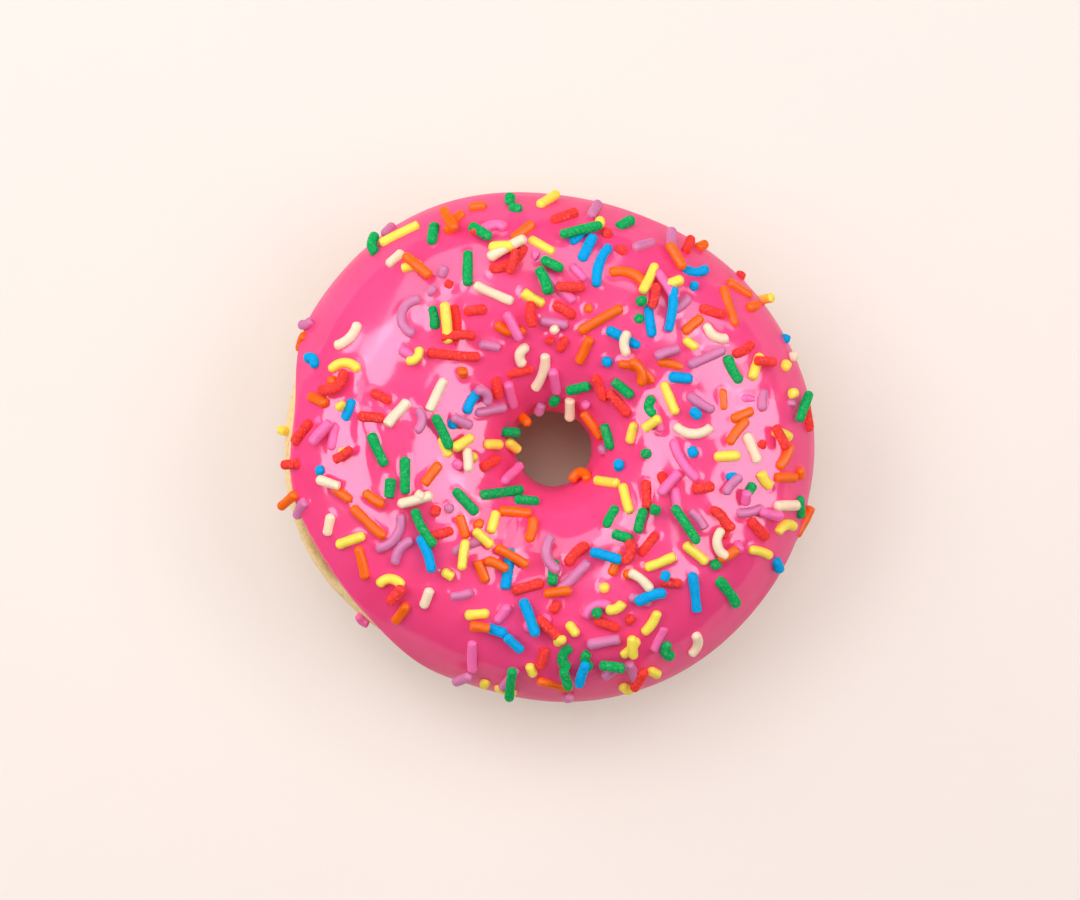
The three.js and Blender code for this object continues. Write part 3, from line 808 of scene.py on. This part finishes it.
class Nodes:
    """A new material's node tree, with short calls to add and join its nodes."""

    def __init__(self, name):
        self.material = bpy.data.materials.new(name)
        self.material.use_nodes = True
        self.tree = self.material.node_tree
        self.shader = self.tree.nodes["Principled BSDF"]
        self.place = self.add("ShaderNodeTexCoord").outputs["Object"]

    def add(self, kind, **inputs):
        node = self.tree.nodes.new(kind)
        for name, value in inputs.items():
            self.put(node.inputs[name.replace("_", " ")], value)
        return node

    def put(self, socket, value):
        if isinstance(value, bpy.types.NodeSocket):
            self.tree.links.new(value, socket)
        else:
            socket.default_value = value

    def set(self, **inputs):
        for name, value in inputs.items():
            self.put(self.shader.inputs[name.replace("_", " ")], value)

    def noise(self, size, detail=3.0, roughness=0.5):
        """Noise from 0 to 1 whose features are about this many millimetres across."""
        node = self.add("ShaderNodeTexNoise", Vector=self.place, Scale=1 / (size * MM))
        self.put(node.inputs["Detail"], detail)
        self.put(node.inputs["Roughness"], roughness)
        return node.outputs["Fac"]

    def ramp(self, value, *stops):
        """A colour for each value, from (position, colour) stops, with the outermost two first."""
        node = self.add("ShaderNodeValToRGB", Fac=value)
        elements = node.color_ramp.elements
        for count, (position, colour) in enumerate(stops):
            stop = elements[count] if count < 2 else elements.new(position)
            stop.position = position
            stop.color = colour
        return node.outputs["Color"]

    def mix(self, share, first, second):
        node = self.tree.nodes.new("ShaderNodeMix")
        node.data_type = "RGBA"
        for socket, value in zip(MIX_INPUTS, (share, first, second)):
            self.put(node.inputs[socket], value)
        return node.outputs[MIX_RESULT]

    def range(self, value, low, high, to_low=0.0, to_high=1.0):
        names = ("Value", "From Min", "From Max", "To Min", "To Max")
        node = self.tree.nodes.new("ShaderNodeMapRange")
        for name, setting in zip(names, (value, low, high, to_low, to_high)):
            self.put(node.inputs[name], setting)
        return node.outputs["Result"]

    def height(self):
        return self.add("ShaderNodeSeparateXYZ", Vector=self.place).outputs["Z"]

    def from_axis(self):
        """The distance from the hole's axis."""
        axis = self.add("ShaderNodeCombineXYZ", X=HOLE.x * MM, Y=HOLE.y * MM, Z=self.height())
        node = self.add("ShaderNodeVectorMath")
        node.operation = "DISTANCE"
        self.put(node.inputs[0], self.place)
        self.put(node.inputs[1], axis.outputs["Vector"])
        return node.outputs["Value"]

    def bump(self, height, distance):
        """Relief of this many millimetres from a height of 0 to 1."""
        node = self.add("ShaderNodeBump", Height=height, Distance=distance * MM, Strength=1)
        self.set(Normal=node.outputs["Normal"])

    def finish(self, piece):
        piece.data.materials.append(self.material)


def dress_dough(piece):
    """Fried dough: golden brown above and below, with a paler belt where it floated."""
    look = Nodes("fried_crust")
    patches = look.noise(CRUST_PATCH, detail=4)
    wander = look.range(patches, *NOISE_BROAD, -BELT_WANDER * MM, BELT_WANDER * MM)
    wavering = look.add("ShaderNodeMath")
    wavering.operation = "ADD"
    look.put(wavering.inputs[0], look.height())
    look.put(wavering.inputs[1], wander)
    low, high = (BELT_HEIGHT - BELT_REACH) * MM, (BELT_HEIGHT + BELT_REACH) * MM
    across = look.range(wavering.outputs["Value"], low, high)
    ends = [(end, CRUST_GOLDEN) for end in (0, 1)]
    palest = [(share, CRUST_PALE) for share in BELT_PALEST]
    belt = look.ramp(across, *ends, *palest)
    outward = look.range(look.from_axis(), HOLE_SIDE * MM, OUTER_SIDE * MM)
    belt = look.mix(outward, CRUST_GOLDEN, belt)
    specks = look.noise(CRUST_SPECK, detail=5, roughness=0.6)
    mottled = look.mix(look.range(specks, *NOISE_HIGH, 0, BROWNEST), belt, CRUST_DARK)
    # Painted shade: the pits, which the bump below sinks, are darkened toward the dark colour.
    pits = look.noise(CRUST_PIT, detail=4, roughness=0.6)
    with_painted_pit_shade = look.mix(look.range(pits, *NOISE_LOW, PIT_SHADE, 0), mottled, CRUST_DARK)
    look.set(Base_Color=with_painted_pit_shade, Roughness=look.range(patches, *NOISE_BROAD, *CRUST_ROUGHNESS))
    look.set(Specular_IOR_Level=0.4, Subsurface_Weight=0.12, Subsurface_Scale=1.2 * MM)
    look.bump(pits, CRUST_RELIEF)
    look.finish(piece)


def dress_icing(piece):
    """Glossy icing: the sugar glaze shines, and light sinks a little way into the pink."""
    look = Nodes("pink_icing")
    clouds = look.range(look.noise(ICING_CLOUD, detail=2), *NOISE_MIDDLE)
    look.set(Base_Color=look.mix(clouds, ICING_PINK, ICING_DEEP))
    sheen = look.noise(ICING_SHEEN, detail=3)
    look.set(Roughness=look.range(sheen, *NOISE_BROAD, *ICING_ROUGHNESS))
    look.set(Specular_IOR_Level=0.05, Subsurface_Weight=0.25, Subsurface_Scale=2.5 * MM)
    look.set(Subsurface_Radius=(1.0, 0.25, 0.4))
    gloss = look.range(look.height(), DULL_BELOW * MM, GLOSSY_ABOVE * MM, LEAST_GLOSS, 1)
    look.set(Coat_Weight=gloss, Coat_Roughness=0.11, Coat_IOR=1.42)
    look.bump(look.noise(ICING_RIPPLE, detail=3, roughness=0.45), ICING_RELIEF)
    look.finish(piece)


@dataclass
class Sugar:
    """How the sugar of a sprinkle looks, apart from its colour."""

    shade: float  # the brightness of its darkest specks, as a share
    roughness: tuple
    specular: float
    relief: float


GRAINY = Sugar(shade=0.5, roughness=(0.65, 0.85), specular=0.04, relief=0.05)
SMOOTH = Sugar(shade=0.85, roughness=(0.3, 0.42), specular=0.13, relief=0.015)


def dress_sprinkles(piece, colour):
    """Sugar: grainy and mottled where the colour is in GRAIN, and else smooth with a soft sheen."""
    look = Nodes(f"{colour}_sugar")
    sugar = GRAINY if colour in GRAIN else SMOOTH
    base = COLOURS[colour]
    shade = tuple(channel * sugar.shade for channel in base[:3]) + (1,)
    paler = SPECKS.get(colour, SMOOTH_SPECKS)
    pale = tuple(lerp(channel, 1, paler) for channel in base[:3]) + (1,)
    specks = look.noise(SUGAR_SPECK, detail=3, roughness=0.6)
    darkest, palest = NOISE_BROAD
    mottled = look.ramp(specks, (darkest, shade), (palest, pale), (0.5, base))
    clouds = look.noise(SUGAR_CLOUD, detail=2)
    look.set(Base_Color=look.mix(look.range(clouds, *NOISE_MIDDLE, *MOTTLING), base, mottled))
    look.set(Roughness=look.range(specks, *NOISE_BROAD, *sugar.roughness))
    look.set(Specular_IOR_Level=sugar.specular)
    look.set(Subsurface_Weight=0.3, Subsurface_Scale=0.6 * MM)
    look.bump(look.noise(SUGAR_PIMPLE, detail=2), sugar.relief)
    look.finish(piece)


# ---- The studio ----


def make_floor():
    """A pale sheet with painted light: a glow that lightens the doughnut's shadow, and warm bounce
    in the hole.
    """
    mesh = bpy.data.meshes.new("floor")
    half = FLOOR_SIZE / 2
    corners = [(-half, -half, 0), (half, -half, 0), (half, half, 0), (-half, half, 0)]
    mesh.from_pydata(corners, [], [(0, 1, 2, 3)])
    floor = bpy.data.objects.new("floor", mesh)
    bpy.context.scene.collection.objects.link(floor)
    look = Nodes("pale_sheet")
    clouds = look.range(look.noise(FLOOR_CLOUD, detail=4), *NOISE_BROAD)
    sheet = look.mix(clouds, FLOOR_COLOUR, FLOOR_SHADE)
    distance = look.from_axis()
    # Under the doughnut the sheet takes painted warm bounce light from the dough's walls.
    look.set(Base_Color=look.mix(look.range(distance, *GLOW_EDGES), FLOOR_PAINTED_BOUNCE, sheet))
    # Painted light: the sheet glows from the rim outwards and lightens the doughnut's shadow.
    near = look.range(distance, *GLOW_EDGES, 0, GLOW_STRENGTH)
    look.set(Emission_Strength=look.range(distance, *FAR_EDGES, near, FAR_STRENGTH))
    look.set(Emission_Color=GLOW_COLOUR, Roughness=0.9, Specular_IOR_Level=0.2)
    look.finish(floor)


def make_softbox(name, colour, azimuth, elevation, distance, width, height, watts):
    """A soft light aimed at the doughnut. Azimuth 0 lies toward +X and 90 toward +Y."""
    light = bpy.data.lights.new(name, "AREA")
    light.shape = "RECTANGLE"
    light.size = width
    light.size_y = height
    light.energy = watts
    light.color = colour
    lamp = bpy.data.objects.new(name, light)
    bpy.context.scene.collection.objects.link(lamp)
    turn, rise = math.radians(azimuth), math.radians(elevation)
    way = Vector((math.cos(turn) * math.cos(rise), math.sin(turn) * math.cos(rise), math.sin(rise)))
    lamp.location = way * distance
    lamp.rotation_mode = "QUATERNION"
    lamp.rotation_quaternion = way.to_track_quat("Z", "Y")
    lamp.visible_camera = False
    return lamp


def make_world():
    """A faint even fill for the doughnut, and a pale background wherever the floor ends."""
    world = bpy.data.worlds.new("studio")
    world.use_nodes = True
    world.cycles_visibility.glossy = False
    tree = world.node_tree
    fill = tree.nodes["Background"]
    fill.inputs["Color"].default_value = FILL_COLOUR
    fill.inputs["Strength"].default_value = FILL_STRENGTH
    backdrop = tree.nodes.new("ShaderNodeBackground")
    backdrop.inputs["Color"].default_value = GLOW_COLOUR
    seen = tree.nodes.new("ShaderNodeLightPath").outputs["Is Camera Ray"]
    blend = tree.nodes.new("ShaderNodeMixShader")
    for socket, output in zip(blend.inputs, (seen, fill.outputs[0], backdrop.outputs[0])):
        tree.links.new(output, socket)
    tree.links.new(blend.outputs[0], tree.nodes["World Output"].inputs["Surface"])
    return world


def light_studio():
    for name, settings in SOFTBOXES.items():
        make_softbox(name, LIGHT_COLOUR, *settings).visible_glossy = False
    for name, settings in SHINES.items():
        make_softbox(name, SHINE_COLOUR, *settings).visible_diffuse = False
    bpy.context.scene.world = make_world()


def make_camera():
    """Looks straight down, far enough away that the rim shows hardly any perspective."""
    camera = bpy.data.cameras.new("camera")
    camera.lens = camera.sensor_width * CAMERA_DISTANCE / FIELD_WIDTH
    eye = bpy.data.objects.new("camera", camera)
    bpy.context.scene.collection.objects.link(eye)
    eye.location = (HOLE - HOLE_IN_VIEW + Vector((0, 0, WAIST_HEIGHT + CAMERA_DISTANCE))) * MM
    camera.clip_start = NEAREST_SEEN * MM
    camera.clip_end = FARTHEST_SEEN * MM
    bpy.context.scene.camera = eye


# ---- The doughnut ----


def attach(piece, node):
    """The piece belongs to the doughnut, in place of a CAD node."""
    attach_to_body(piece, "root")
    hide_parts(node)


def main():
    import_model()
    scene = bpy.context.scene
    scene.view_settings.view_transform = "Standard"

    sprinkles = all_sprinkles()
    dough = make_dough()
    dress_dough(dough)
    attach(dough, "dough")
    icing = make_icing(sprinkles)
    dress_icing(icing)
    attach(icing, "icing")
    for colour in COLOUR_SHARES:
        piece = make_sprinkles(colour, [each for each in sprinkles if each.colour == colour])
        dress_sprinkles(piece, colour)
        attach(piece, "icing")

    make_floor()
    light_studio()
    make_camera()


main()
